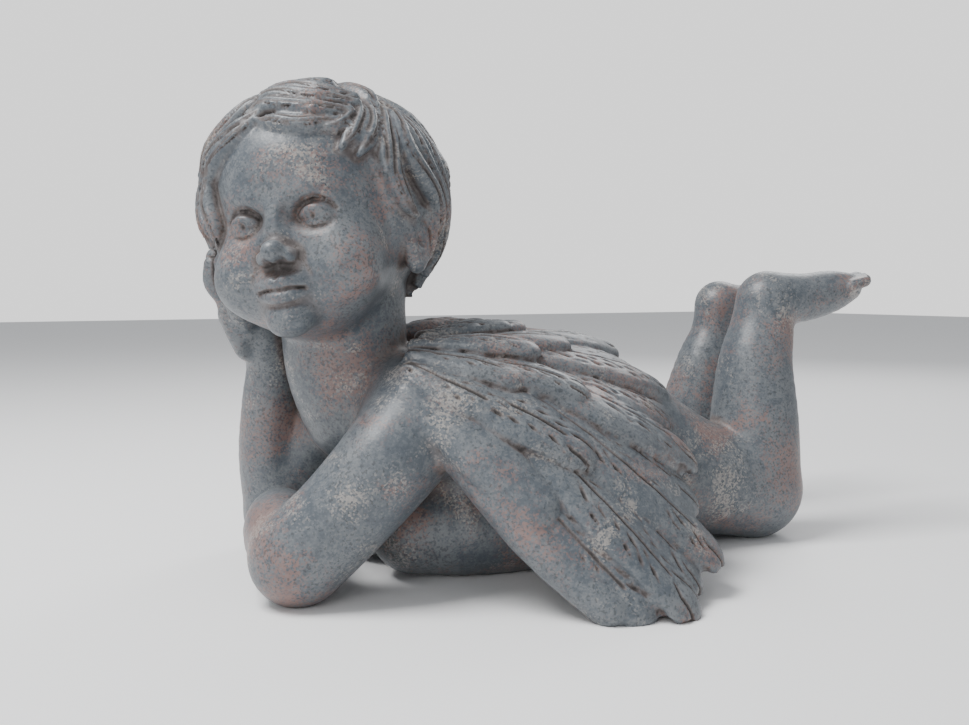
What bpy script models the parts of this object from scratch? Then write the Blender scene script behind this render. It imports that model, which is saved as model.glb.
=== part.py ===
# Stone putto statue, lying on its front with its head on one hand, carved from one block; run it with Blender.
import math
from concurrent.futures import ThreadPoolExecutor

import bmesh
import bpy
import numpy as np
from mathutils import Matrix, Vector

# The figure is laid out in shares of its own length: designLength of them make figureLength metres.
# X runs from the head to the feet, Y to the figure's right and Z up; the figure faces -X.
figureLength = 0.58  # metres, front of the head to the toes
designLength = 580.0
blockVoxel = 0.0045  # metres, grain of the roughed-out block
carveVoxel = 0.0028  # metres, grain of the carved surface
facets = 9600

headCentre = (-202, 11, 250)
headSize = 1.03
headTurn = 44  # degrees, towards the figure's left
headLift = 6  # degrees, chin up
headLean = 8  # degrees, towards the hand that holds it

# Limbs: how far each melts into the rest, then its stations (x, y, z, radius)
limbs = [
    (16, [(-148, 26, 116, 44), (-110, 32, 108, 56), (-60, 30, 104, 58), (0, 28, 92, 60), (50, 32, 72, 54),
          (84, 38, 58, 43)], True),
    (14, [(-148, 30, 36, 34), (-100, 42, 40, 42), (-20, 44, 44, 48), (50, 40, 44, 46)], True),
    (14, [(-166, 12, 124, 50), (-181, 15, 150, 44), (-184, 14, 182, 45), (-192, 12, 222, 43)], False),
    (14, [(-156, -60, 122, 38), (-188, -72, 92, 34), (-218, -64, 58, 32), (-243, -50, 30, 32)], False),
    (5, [(-243, -50, 32, 31), (-240, -12, 40, 27), (-230, 24, 42, 20), (-220, 46, 34, 15)], False),
    (14, [(-156, 60, 122, 38), (-182, 82, 78, 33), (-202, 92, 29, 31)], False),
    (6, [(-204, 92, 30, 30), (-211, 91, 76, 27.5), (-216, 81, 118, 22.5), (-218, 72, 150, 19.5), (-227, 68, 172, 21.5),
         (-242, 68, 187, 17.5)], False),
    (14, [(66, -42, 58, 46), (112, -50, 48, 44), (148, -58, 38, 40)], False),
    (6, [(150, -58, 42, 39), (152, -56, 95, 36), (155, -53, 140, 30.5), (163, -51, 168, 26.5), (168, -50, 192, 23.5)],
     False),
    (8, [(170, -51, 196, 23), (200, -59, 197, 20.5), (226, -65, 202, 18), (243, -70, 206, 12.5)], False),
    (14, [(66, 42, 58, 46), (122, 50, 50, 44), (170, 54, 38, 40)], False),
    (6, [(176, 54, 42, 38), (184, 51, 95, 32), (191, 48, 135, 26), (199, 47, 162, 20.5), (204, 46, 188, 20)],
     False),
    (8, [(206, 46, 191, 20), (236, 53, 189, 19), (260, 60, 194, 16), (270, 63, 198, 12)], False),
]

# Hand under the cheek, in the head's own directions: half width, half thickness, stations (forward, left, up)
palmFace = (0.1, 0.95, -0.3)
hand = [
    (20, 11, [(-22, -71, -66), (-16, -74, -52), (-10, -75, -37)]),
    (7.5, 7, [(0, -75, -42), (7, -81, -30), (8, -80, -17)]),
    (8, 7.5, [(-8, -78, -40), (-8, -86, -24), (-7, -86, -9)]),
    (8, 7.5, [(-19, -78, -42), (-21, -87, -25), (-21, -87, -9)]),
    (7, 7, [(-28, -75, -46), (-33, -83, -31), (-35, -83, -18)]),
    (8.5, 8.5, [(-12, -68, -64), (4, -66, -47), (12, -66, -33), (16, -66, -19)]),
]

# Head, in its own directions (forward, left, up): how far each form melts in, centre, radii
headForms = [
    (0, (-8, 0, 18), (76, 66, 66)),
    (22, (14, 0, -20), (54, 56, 56)),
    (16, (24, 0, 30), (46, 54, 40)),
    (14, (30, 0, -52), (36, 38, 26)),
    (12, (-30, 0, -42), (38, 44, 36)),
    (14, (42, 32, -38), (25, 25, 25)),
    (14, (42, -32, -38), (25, 25, 25)),
    (10, (60, 0, -70), (13, 15, 12)),
    (7, (63, 0, -12), (10, 6.5, 20)),
    (5, (75, 0, -29), (8.5, 7.5, 7)),
    (4, (70, 9, -31.5), (6, 5.5, 5)),
    (4, (70, -9, -31.5), (6, 5.5, 5)),
    (6, (64, 0, -50), (11, 17, 9)),
    (5, (-4, 65, -22), (13, 9, 20)),
    (5, (-4, -65, -22), (13, 9, 20)),
]
eyes = [(54, 24, -6), (54, -24, -6)]
eyeball = (12, 12, 9.5)

# Locks of hair over the scalp: half width, half thickness, lift, then waypoints (degrees round from the brow to
# the left, degrees up from the ears)
scalpCentre = (-10, 0, 14)
scalpSize = (81, 72, 70)
foreLocks = [
    (8, 8, 9, [(52, 46), (29, 54), (4, 62), (-14, 61), (-24, 54)]),
    (7.5, 8, 9, [(50, 40), (28, 44), (6, 51), (-12, 53), (-22, 47)]),
    (7, 8, 8, [(44, 34), (24, 36), (8, 41), (-8, 44), (-17, 40)]),
    (6.5, 7, 6, [(36, 29), (18, 28), (6, 31), (-8, 35)]),
    (6, 7, 6, [(40, 48), (44, 36), (38, 27), (30, 25)]),
    (6.5, 7, 6, [(54, 50), (50, 34), (43, 22), (36, 14)]),
    (7, 7, 6, [(66, 56), (58, 36), (51, 21), (44, 11)]),
    (7, 7, 6, [(76, 54), (66, 34), (59, 17), (56, 3)]),
    (7, 7, 6, [(74, 46), (66, 26), (61, 10), (62, -1), (68, -11), (76, -16)]),
    (8, 8, 8, [(84, 58), (76, 37), (71, 18), (79, 4), (91, -6), (97, -16), (95, -26)]),
    (8, 8, 7, [(90, 54), (86, 34), (85, 17), (93, 2), (101, -8), (105, -20), (103, -33)]),
    (8.5, 8, 8, [(98, 60), (96, 40), (99, 24), (101, 10), (107, -2), (109, -14), (115, -30), (119, -42)]),
    (7.5, 8, 8, [(-14, 62), (-30, 51), (-43, 38), (-50, 26), (-54, 16)]),
    (6.5, 7, 7, [(-6, 41), (-19, 34), (-33, 28), (-46, 21), (-54, 14)]),
    (6, 7, 6, [(-10, 36), (-24, 26), (-36, 17), (-44, 8)]),
    (7, 7, 6, [(-56, 18), (-61, 4), (-53, -9), (-52, -20)]),
    (6.5, 7, 5, [(-43, 12), (-44, 0), (-41, -12), (-47, -24)]),
    (8, 8, 8, [(-30, 66), (-50, 54), (-62, 39), (-66, 24), (-61, 9)]),
    (8, 8, 8, [(-56, 60), (-68, 44), (-74, 28), (-76, 13), (-69, -1), (-74, -15)]),
    (8.5, 8, 7, [(-76, 60), (-84, 42), (-90, 24), (-91, 8), (-85, -6), (-91, -20), (-87, -32)]),
    (9, 9, 8, [(64, 76), (40, 67), (14, 72), (-16, 72), (-38, 63)]),
    (9, 9, 8, [(84, 82), (72, 66), (68, 52), (66, 42)]),
    (9, 8, 8, [(20, 85), (-24, 79), (-46, 69), (-60, 56)]),
]
wing = [  # feather ribs of the left wing from the leading edge to the spine, each from the root to the tip
    [(-178, -78, 132), (-152, -114, 94), (-121, -151, 48), (-91, -186, 10)],
    [(-172, -72, 140), (-128, -118, 106), (-88, -164, 56), (-50, -197, 12)],
    [(-168, -64, 147), (-108, -110, 124), (-50, -150, 72), (4, -174, 20)],
    [(-160, -54, 153), (-88, -88, 144), (-28, -116, 112), (34, -118, 74)],
    [(-150, -40, 158), (-70, -56, 162), (0, -60, 146), (56, -54, 121)],
    [(-136, -22, 164), (-80, -22, 172), (-20, -20, 170), (30, -16, 155)],
]
# Feathers: place across the fan at the root and at the tip (0 leading edge, 1 spine), start and end along it,
# half width, half thickness, lift off the wing
feathers = [
    (0.00, 0.00, 0.00, 1.00, 16, 15, -4), (0.14, 0.07, 0.05, 1.00, 20, 9, -1), (0.34, 0.21, 0.05, 1.00, 24, 9, -1),
    (0.47, 0.42, 0.05, 0.94, 26, 9, -1), (0.58, 0.62, 0.05, 0.91, 28, 9, -1), (0.70, 0.82, 0.05, 0.91, 25, 9, -1),
    (0.84, 1.00, 0.05, 0.96, 19, 9, -1),
    (0.24, 0.14, 0.05, 0.96, 20, 9, -5), (0.40, 0.32, 0.05, 0.92, 25, 9, -5), (0.52, 0.52, 0.05, 0.87, 29, 9, -5),
    (0.64, 0.72, 0.05, 0.85, 27, 9, -5), (0.77, 0.91, 0.05, 0.88, 22, 9, -5),
    (0.04, 0.08, 0.00, 0.55, 20, 13, 4), (0.28, 0.35, 0.06, 0.48, 23, 8, 6), (0.52, 0.57, 0.06, 0.45, 18, 8, 6),
    (0.74, 0.80, 0.06, 0.42, 16, 8, 5), (0.93, 0.97, 0.06, 0.40, 13, 8, 4),
    (0.26, 0.27, 0.00, 0.26, 16, 8, 10), (0.50, 0.47, 0.00, 0.26, 15, 8, 10), (0.72, 0.68, 0.00, 0.29, 17, 8, 10),
    (0.94, 0.91, 0.00, 0.28, 14, 8, 8),
]
bladeTilt = 0.2  # how far each feather leans over the next one towards the spine


def smoothUnion(a, b, reach):
    overlap = np.maximum(reach - np.abs(a - b), 0) / reach
    return np.minimum(a, b) - overlap * overlap * reach / 4


def curve(stations, steps):  # a smooth curve through all the stations
    s = np.array(stations, float)
    ends = np.vstack([2 * s[0] - s[1], s, 2 * s[-1] - s[-2]])
    t = (np.arange(steps) / steps)[:, None]
    out = []
    for a, b, c, d in zip(ends[:-3], ends[1:-2], ends[2:-1], ends[3:]):
        out.append(0.5 * (2 * b + (c - a) * t + (2 * a - 5 * b + 4 * c - d) * t ** 2
                          + (3 * b - a - 3 * c + d) * t ** 3))
    return np.vstack(out + [s[-1:]])


def headAxes():
    turn, lift, lean = (math.radians(v) for v in (headTurn, headLift, headLean))
    flat = np.array([-math.cos(turn), -math.sin(turn), 0])
    left = np.array([math.sin(turn), -math.cos(turn), 0])
    up = np.array([0, 0, 1.0])
    forward, up = flat * math.cos(lift) + up * math.sin(lift), up * math.cos(lift) - flat * math.sin(lift)
    return np.array([forward, left * math.cos(lean) + up * math.sin(lean),
                     up * math.cos(lean) - left * math.sin(lean)])


def onHead(q):
    return np.array(headCentre) + headSize * np.asarray(q, float) @ headAxes()


def onScalp(waypoints, lift, flare=0):
    way = curve(waypoints, 3)
    rounds, ups = np.radians(way[:, 0]), np.radians(way[:, 1])
    ray = np.stack([np.cos(ups) * np.cos(rounds), np.cos(ups) * np.sin(rounds), np.sin(ups)], 1)
    out = ray / np.array(scalpSize)
    out /= np.linalg.norm(out, axis=1, keepdims=True)
    lift = (lift + flare * np.linspace(0, 1, len(way)) ** 2)[:, None]
    return onHead(np.array(scalpCentre) + ray * scalpSize + out * lift), out @ headAxes()


def strand(path, out, width, thick, taper, spread=0.25):
    # stations of a flattened strand: place, half width, half thickness and the way its flat side faces
    along = np.linspace(0, 1, len(path))
    full = np.minimum(1, taper[0] + (1 - taper[0]) * along / spread) * np.minimum(
        1, taper[1] + (1 - taper[1]) * (1 - along) / 0.3)
    return np.column_stack([path, width * full, thick * (0.4 + 0.6 * full), out])


def hairStrands():
    locks = [(w, t, lift, 0, way) for w, t, lift, way in foreLocks]
    for i in range(15):  # long wavy locks round the back, down to the nape
        turn = 106 + i * 10.6 + 3 * math.sin(i * 2.1)
        low = -40 - (i % 3) * 5
        locks.append((9.5, 8, 6, 5, [(turn - 10, 66), (turn + 3, 48), (turn - 4, 28), (turn + 5, 8), (turn - 3, -12),
                                     (turn + 6, -28), (turn + 2, low)]))
    for i in range(9):  # broader locks over them, ending at different heights
        turn = 112 + i * 17.5 + 4 * math.sin(i * 1.7)
        low = (2, -14, 10, -6)[i % 4]
        locks.append((9.5, 8, 11, 2, [(turn - 16, 78), (turn - 2, 60), (turn - 6, 42), (turn + 4, 24),
                                      (turn - 2, (24 + low) / 2), (turn + 8, low)]))
    for i in range(7):  # crown
        turn = 60 + i * 42
        locks.append((12, 9, 7, 0, [(turn, 88), (turn + 16, 78), (turn + 24, 66), (turn + 20, 52)]))
    return [strand(*onScalp(way, lift, flare), w, t, (0.55, 0.3)) for w, t, lift, flare, way in locks]


def wingPoint(across, along):
    ribs = np.array([curve(r, 8) for r in wing])  # rib, station, xyz
    place = along * (ribs.shape[1] - 1)
    low = int(min(place, ribs.shape[1] - 2))
    cut = ribs[:, low] + (place - low) * (ribs[:, low + 1] - ribs[:, low])
    dense = curve(cut, 16)
    at = across * (len(dense) - 1)
    low = int(min(at, len(dense) - 2))
    return dense[low] + (at - low) * (dense[low + 1] - dense[low])


def wingStrands():
    out = []
    for root, tip, start, end, width, thick, lift in feathers:
        path, faces = [], []
        for along in np.linspace(start, end, 9):
            across = root + (tip - root) * (along - start) / (end - start)
            here = wingPoint(across, along)
            down = wingPoint(across, min(along + 0.02, 1)) - wingPoint(across, min(along + 0.02, 1) - 0.02)
            side = wingPoint(min(across + 0.03, 1), along) - wingPoint(min(across + 0.03, 1) - 0.03, along)
            face = np.cross(down, side)
            face *= -1 if face[2] < 0 else 1
            side /= np.linalg.norm(side)
            face = face / np.linalg.norm(face) + bladeTilt * side
            face /= np.linalg.norm(face)
            path.append(here + face * lift)
            faces.append(face)
        out.append(strand(np.array(path), np.array(faces), width, thick, (0.5, 0.8), 0.6))
    return out


def mirrored(stations):
    out = np.array(stations, float)
    out[:, 1] *= -1
    if out.shape[1] > 5:
        out[:, 6] *= -1
    return out


def meld(d, p, s, margin, blend):  # joins one limb or strand to the distances found so far
    reach = s[:, 3].max() + margin
    low, high = s[:, :3].min(0) - reach, s[:, :3].max(0) + reach
    if not len(p) or np.any(p.min(0) > high) or np.any(p.max(0) < low):
        return
    near = np.flatnonzero(np.all((p > low) & (p < high), axis=1))
    q = p[near]
    best = np.full(len(q), 1e3)
    for a, b in zip(s[:-1], s[1:]):
        reach = max(a[3], b[3]) + margin
        middle = (a[:3] + b[:3]) / 2
        along = b[:3] - a[:3]
        length = math.sqrt(along @ along) + 1e-9
        off = q - middle
        here = np.flatnonzero((off * off).sum(1) < (reach + length / 2) ** 2)
        off = off[here]
        t = np.clip(off @ along / length ** 2 + 0.5, 0, 1)[:, None]
        off -= (t - 0.5) * along
        size = a[3:] + t * (b[3:] - a[3:])
        far = (off * off).sum(1)
        if s.shape[1] == 4:
            gap = np.sqrt(far) - size[:, 0]
        else:
            up = (off * size[:, 2:5]).sum(1)
            flat = np.maximum(far - up * up, 0)
            wide, thick = size[:, 0] ** 2, size[:, 1] ** 2
            k = np.sqrt(flat / wide + up * up / thick)
            gap = k * (k - 1) / np.maximum(np.sqrt(flat / wide ** 2 + up * up / thick ** 2), 1e-6)
        best[here] = np.minimum(best[here], gap)
    d[near] = smoothUnion(d[near], best, blend)


def ellipsoidDistance(q, centre, radii):
    o = (q - np.array(centre, float)) / np.array(radii, float)
    k = np.linalg.norm(o, axis=1)
    g = np.linalg.norm(o / np.array(radii, float), axis=1)
    return k * (k - 1) / np.maximum(g, 1e-6)


def headDistance(q):
    d = None
    for reach, centre, radii in headForms:
        e = ellipsoidDistance(q, centre, radii)
        d = e if d is None else smoothUnion(d, e, reach)
    for x, y, z in eyes:
        hollow = ellipsoidDistance(q, (x + 16, y, z), (13, 15, 10))
        d = -smoothUnion(-d, hollow, 8)
        d = smoothUnion(d, ellipsoidDistance(q, (x, y, z), eyeball), 1.5)
    cap = ellipsoidDistance(q, scalpCentre, np.array(scalpSize) + 3)
    behind = (q[:, 0] - 30 - 0.40 * q[:, 2]) * 0.93
    cap = np.maximum(cap, behind)
    return smoothUnion(d, cap, 4)


def handStrands():
    out = []
    for width, thick, stations in hand:
        path = onHead(curve(stations, 4))
        out.append(strand(path, np.tile(np.array(palmFace) @ headAxes(), (len(path), 1)), width, thick, (1, 0.9)))
    return out


def toes(stations, side):  # five toes beyond the ball of a foot, the big one on the inner side
    ahead = np.array(stations[-1][:3], float) - stations[-2][:3]
    ahead /= np.linalg.norm(ahead)
    across = np.cross(ahead, (0, 0, 1)) * side
    start = np.array(stations[-1][:3], float)
    out = []
    for i in range(5):
        radius = (7.6, 6, 5.7, 5.3, 5)[i]
        root = start + across * (11.5 - (0, 9, 16, 22, 27)[i]) - ahead * (2 + abs(i - 1)) + (0, 0, 2)
        tip = root + ahead * (20, 20, 18, 15.5, 13)[i] + (0, 0, 1)
        out.append(curve([(*root, radius), (*tip, radius * 0.9)], 3))
    return out


def prepare():
    forms = []
    for reach, stations, twin in limbs:
        for s in ([stations, mirrored(stations)] if twin else [stations]):
            forms.append((reach, curve(s, 4), 24))
    for n, side in ((9, -1), (12, 1)):
        forms += [(2, s, 8) for s in toes(limbs[n][1], side)]
    forms += [(3, s, 12) for s in handStrands()]
    wings = []
    for s in wingStrands():
        wings += [s, mirrored(s)]
    return forms, wings, hairStrands()


forms, wings, hair = prepare()


def field(p):  # about the distance from the carved surface, below 0 inside it
    d = np.full(len(p), 1e3)
    for reach, s, margin in forms:
        meld(d, p, s, margin, reach)
    q = (p - np.array(headCentre)) @ headAxes().T / headSize
    near = np.flatnonzero((q * q).sum(1) < 130 ** 2)
    if len(near):
        d[near] = smoothUnion(d[near], headDistance(q[near]) * headSize, 8)
        hairs, around = np.full(len(near), 1e3), p[near]
        for s in hair:
            meld(hairs, around, s, 6, 1)
        d[near] = smoothUnion(d[near], hairs, 3)
    blades = np.full(len(p), 1e3)
    for s in wings:
        meld(blades, p, s, 7, 1.5)
    return smoothUnion(d, blades, 6)


def balls(s):  # one ball, flattened or round, at each station
    bm = bmesh.new()
    for row in s:
        place = Matrix.Translation(Vector(row[:3]))
        if len(row) == 4:
            bmesh.ops.create_icosphere(bm, subdivisions=2, radius=row[3], matrix=place)
        else:
            turn = Vector(row[5:8]).to_track_quat("Z", "X").to_matrix().to_4x4()
            bmesh.ops.create_icosphere(bm, subdivisions=2, radius=1,
                                       matrix=place @ turn @ Matrix.Diagonal((row[3], row[3], row[4], 1)))
    return bm


def roughedOut():
    lumps = [balls(s) for reach, s, margin in forms] + [balls(s) for s in wings + hair]
    place = (Matrix.Translation(Vector(headCentre)) @ Matrix(headAxes().tolist()).transposed().to_4x4()
             @ Matrix.Scale(headSize, 4))
    bm = bmesh.new()
    for reach, centre, radii in headForms + [(0, e, eyeball) for e in eyes]:
        bmesh.ops.create_icosphere(bm, subdivisions=3, radius=1,
                                   matrix=place @ Matrix.Translation(Vector(centre)) @ Matrix.Diagonal((*radii, 1)))
    lump = bpy.data.meshes.new("lump")
    for other in lumps:
        other.to_mesh(lump)
        bm.from_mesh(lump)
        other.free()
    bpy.data.meshes.remove(lump)
    bmesh.ops.scale(bm, vec=(figureLength / designLength,) * 3, verts=bm.verts)
    mesh = bpy.data.meshes.new("putto")
    bm.to_mesh(mesh)
    bm.free()
    return mesh


def remeshed(obj, voxel):
    modifier = obj.modifiers.new("Remesh", "REMESH")
    modifier.mode = "VOXEL"
    modifier.voxel_size = voxel
    mesh = bpy.data.meshes.new_from_object(obj.evaluated_get(bpy.context.evaluated_depsgraph_get()))
    obj.modifiers.clear()
    obj.data = mesh


def carve(obj, rounds):  # draws every vertex onto the surface the field describes
    unit = figureLength / designLength
    co = np.empty(len(obj.data.vertices) * 3, np.float32)
    obj.data.vertices.foreach_get("co", co)
    p = co.reshape(-1, 3).astype(float) / unit
    corners = np.array([(1, 1, 1), (1, -1, -1), (-1, 1, -1), (-1, -1, 1)], float) * 0.3

    def settle(part):
        q = p[part]
        for _ in range(rounds):
            values = [field(q + c) for c in corners]
            slope = sum(c * v[:, None] for c, v in zip(corners, values)) / (4 * 0.09)
            step = -(sum(values) / 4 / np.maximum((slope ** 2).sum(1), 0.3))[:, None] * slope
            size = np.linalg.norm(step, axis=1, keepdims=True)
            q = q + step * np.minimum(1, 5 / np.maximum(size, 1e-9))
        p[part] = q

    with ThreadPoolExecutor(4) as pool:
        list(pool.map(settle, np.array_split(np.lexsort((p[:, 1] // 60, p[:, 0] // 60)), 16)))
    obj.data.vertices.foreach_set("co", (p * unit).astype(np.float32).ravel())
    obj.data.update()


def cutFlat(obj):  # saws the underside off level with the ground
    bm = bmesh.new()
    bm.from_mesh(obj.data)
    bmesh.ops.bisect_plane(bm, geom=bm.verts[:] + bm.edges[:] + bm.faces[:], dist=1e-5, plane_co=(0, 0, 0),
                           plane_no=(0, 0, 1), clear_inner=True)
    rim = [e for e in bm.edges if e.is_boundary]
    bmesh.ops.holes_fill(bm, edges=rim, sides=0)
    bmesh.ops.triangulate(bm, faces=bm.faces[:])
    bm.to_mesh(obj.data)
    bm.free()


def thinned(obj, count):
    modifier = obj.modifiers.new("Decimate", "DECIMATE")
    modifier.ratio = count / len(obj.data.polygons)
    mesh = bpy.data.meshes.new_from_object(obj.evaluated_get(bpy.context.evaluated_depsgraph_get()))
    obj.modifiers.clear()
    obj.data = mesh


def main():
    for obj in list(bpy.data.objects):
        bpy.data.objects.remove(obj)
    group = bpy.data.collections.new("stone_putto")
    bpy.context.scene.collection.children.link(group)
    obj = bpy.data.objects.new("putto_statue", roughedOut())
    group.objects.link(obj)
    remeshed(obj, blockVoxel)
    carve(obj, 2)
    remeshed(obj, carveVoxel)
    carve(obj, 1)
    cutFlat(obj)
    thinned(obj, facets)
    bm = bmesh.new()
    bm.from_mesh(obj.data)
    for v in bm.verts:
        if v.co.z < 0.0003:
            v.co.z = 0
    bmesh.ops.dissolve_degenerate(bm, dist=1e-5, edges=bm.edges[:])
    crumbs = [f for f in bm.faces if all(len(e.verts[0].link_edges) < 4 and len(e.verts[1].link_edges) < 4
                                         for e in f.edges)]
    bmesh.ops.delete(bm, geom=crumbs, context="FACES")
    bmesh.ops.delete(bm, geom=[v for v in bm.verts if not v.link_faces], context="VERTS")
    bmesh.ops.triangulate(bm, faces=bm.faces[:])
    bmesh.ops.recalc_face_normals(bm, faces=bm.faces[:])
    bm.to_mesh(obj.data)
    bm.free()
    low, high = (np.array([v.co for v in obj.data.vertices]).min(0), np.array([v.co for v in obj.data.vertices]).max(0))
    middle = (low + high) / 2
    trim = figureLength / (high[0] - low[0])
    obj.data.transform(Matrix.Scale(trim, 4) @ Matrix.Translation((-middle[0], -middle[1], 0)))
    print("centred by", middle, "and brought to its length by", trim)
    granite = bpy.data.materials.new("granite")
    granite.use_nodes = True
    shader = granite.node_tree.nodes["Principled BSDF"]
    shader.inputs["Base Color"].default_value = (0.19, 0.18, 0.18, 1)
    shader.inputs["Roughness"].default_value = 0.5
    obj.data.materials.clear()
    obj.data.materials.append(granite)


main()
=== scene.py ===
# Stone putto statue: the carved stone of the CAD part, with its fine carving and its granite.
import math
from concurrent.futures import ThreadPoolExecutor

import bmesh
import bpy
import numpy as np
from mathutils import Matrix, Vector


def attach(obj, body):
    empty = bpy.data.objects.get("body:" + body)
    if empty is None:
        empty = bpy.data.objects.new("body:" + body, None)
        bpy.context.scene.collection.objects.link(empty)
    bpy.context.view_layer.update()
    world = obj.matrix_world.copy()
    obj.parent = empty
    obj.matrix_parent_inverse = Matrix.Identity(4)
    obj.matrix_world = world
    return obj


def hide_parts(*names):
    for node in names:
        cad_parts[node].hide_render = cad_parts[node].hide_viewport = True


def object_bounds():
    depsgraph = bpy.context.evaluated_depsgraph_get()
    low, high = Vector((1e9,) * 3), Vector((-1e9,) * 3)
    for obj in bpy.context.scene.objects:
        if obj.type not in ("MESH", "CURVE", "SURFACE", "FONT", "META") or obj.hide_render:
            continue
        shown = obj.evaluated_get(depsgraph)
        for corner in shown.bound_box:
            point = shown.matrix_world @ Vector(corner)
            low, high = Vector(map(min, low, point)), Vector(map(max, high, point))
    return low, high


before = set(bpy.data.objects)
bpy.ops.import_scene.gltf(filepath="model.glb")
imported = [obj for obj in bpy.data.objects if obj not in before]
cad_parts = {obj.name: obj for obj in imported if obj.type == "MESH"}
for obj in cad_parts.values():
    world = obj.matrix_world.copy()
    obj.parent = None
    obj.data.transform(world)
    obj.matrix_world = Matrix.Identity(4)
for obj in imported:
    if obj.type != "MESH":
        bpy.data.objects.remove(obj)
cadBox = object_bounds()

# The figure is laid out in shares of its own length: designLength of them make figureLength metres.
# X runs from the head to the feet, Y to the figure's right and Z up; the figure faces -X.
figureLength = 0.58
designLength = 580.0
farAway = 1e3  # design units, further than anything on the figure
headCentre = (-202, 11, 250)
headSize = 1.03
headTurn = 44  # degrees, towards the figure's left
headLift = 6  # degrees, chin up
headLean = 8  # degrees, towards the hand that holds it

# Limbs: how far each melts into the rest, its stations (x, y, z, radius), whether it has a twin across
limbs = [
    (16, [(-148, 26, 116, 44), (-110, 32, 108, 56), (-60, 30, 104, 58), (0, 28, 92, 60), (50, 32, 72, 54),
          (84, 38, 58, 43)], True),
    (14, [(-148, 30, 36, 34), (-100, 42, 40, 42), (-20, 44, 44, 48), (50, 40, 44, 46)], True),
    (14, [(-166, 12, 124, 50), (-181, 15, 150, 44), (-184, 14, 182, 45), (-192, 12, 222, 43)], False),
    (14, [(-156, -60, 122, 38), (-188, -72, 92, 34), (-218, -64, 58, 32), (-243, -50, 30, 32)], False),
    (5, [(-243, -50, 32, 31), (-240, -12, 40, 27), (-230, 24, 42, 20), (-220, 46, 34, 15)], False),
    (14, [(-156, 60, 122, 38), (-182, 82, 78, 33), (-202, 92, 29, 31)], False),
    (6, [(-204, 92, 30, 30), (-211, 91, 76, 27.5), (-216, 81, 118, 22.5), (-218, 72, 150, 19.5),
         (-227, 68, 172, 21.5), (-242, 68, 187, 17.5)], False),
    (14, [(66, -42, 58, 46), (112, -50, 48, 44), (148, -58, 38, 40)], False),
    (6, [(150, -58, 42, 39), (152, -56, 95, 36), (155, -53, 140, 30.5), (163, -51, 168, 26.5),
         (168, -50, 192, 23.5)], False),
    (8, [(170, -51, 196, 23), (200, -59, 197, 20.5), (226, -65, 202, 18), (243, -70, 206, 12.5)], False),
    (14, [(66, 42, 58, 46), (122, 50, 50, 44), (170, 54, 38, 40)], False),
    (6, [(176, 54, 42, 38), (184, 51, 95, 32), (191, 48, 135, 26), (199, 47, 162, 20.5),
         (204, 46, 188, 20)], False),
    (8, [(206, 46, 191, 20), (236, 53, 189, 19), (260, 60, 194, 16), (270, 63, 198, 12)], False),
]

# Hand under the cheek, in the head's own directions: half width, half thickness, stations (forward, left, up)
palmFace = (0.1, 0.95, -0.3)
hand = [
    (20, 11, [(-22, -71, -66), (-16, -74, -52), (-10, -75, -37)]),
    (7.5, 7, [(0, -75, -42), (7, -81, -30), (8, -80, -17)]),
    (8, 7.5, [(-8, -78, -40), (-8, -86, -24), (-7, -86, -9)]),
    (8, 7.5, [(-19, -78, -42), (-21, -87, -25), (-21, -87, -9)]),
    (7, 7, [(-28, -75, -46), (-33, -83, -31), (-35, -83, -18)]),
    (8.5, 8.5, [(-12, -68, -64), (4, -66, -47), (12, -66, -33), (16, -66, -19)]),
]

# Head, in its own directions (forward, left, up): how far each form melts in, centre, radii
headForms = [
    (0, (-8, 0, 18), (76, 66, 66)),
    (22, (14, 0, -20), (54, 56, 56)),
    (16, (24, 0, 30), (46, 54, 40)),
    (14, (30, 0, -52), (36, 38, 26)),
    (12, (-30, 0, -42), (38, 44, 36)),
    (14, (42, 32, -38), (25, 25, 25)),
    (14, (42, -32, -38), (25, 25, 25)),
    (10, (60, 0, -70), (13, 15, 12)),
    (7, (63, 0, -12), (10, 6.5, 20)),
    (5, (75, 0, -29), (8.5, 7.5, 7)),
    (4, (70, 9, -31.5), (6, 5.5, 5)),
    (4, (70, -9, -31.5), (6, 5.5, 5)),
    (6, (64, 0, -50), (11, 17, 9)),
    (5, (-4, 65, -22), (13, 9, 20)),
    (5, (-4, -65, -22), (13, 9, 20)),
]
eyes = [(54, 24, -6), (54, -24, -6)]
eyeball = (12, 12, 9.5)

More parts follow.
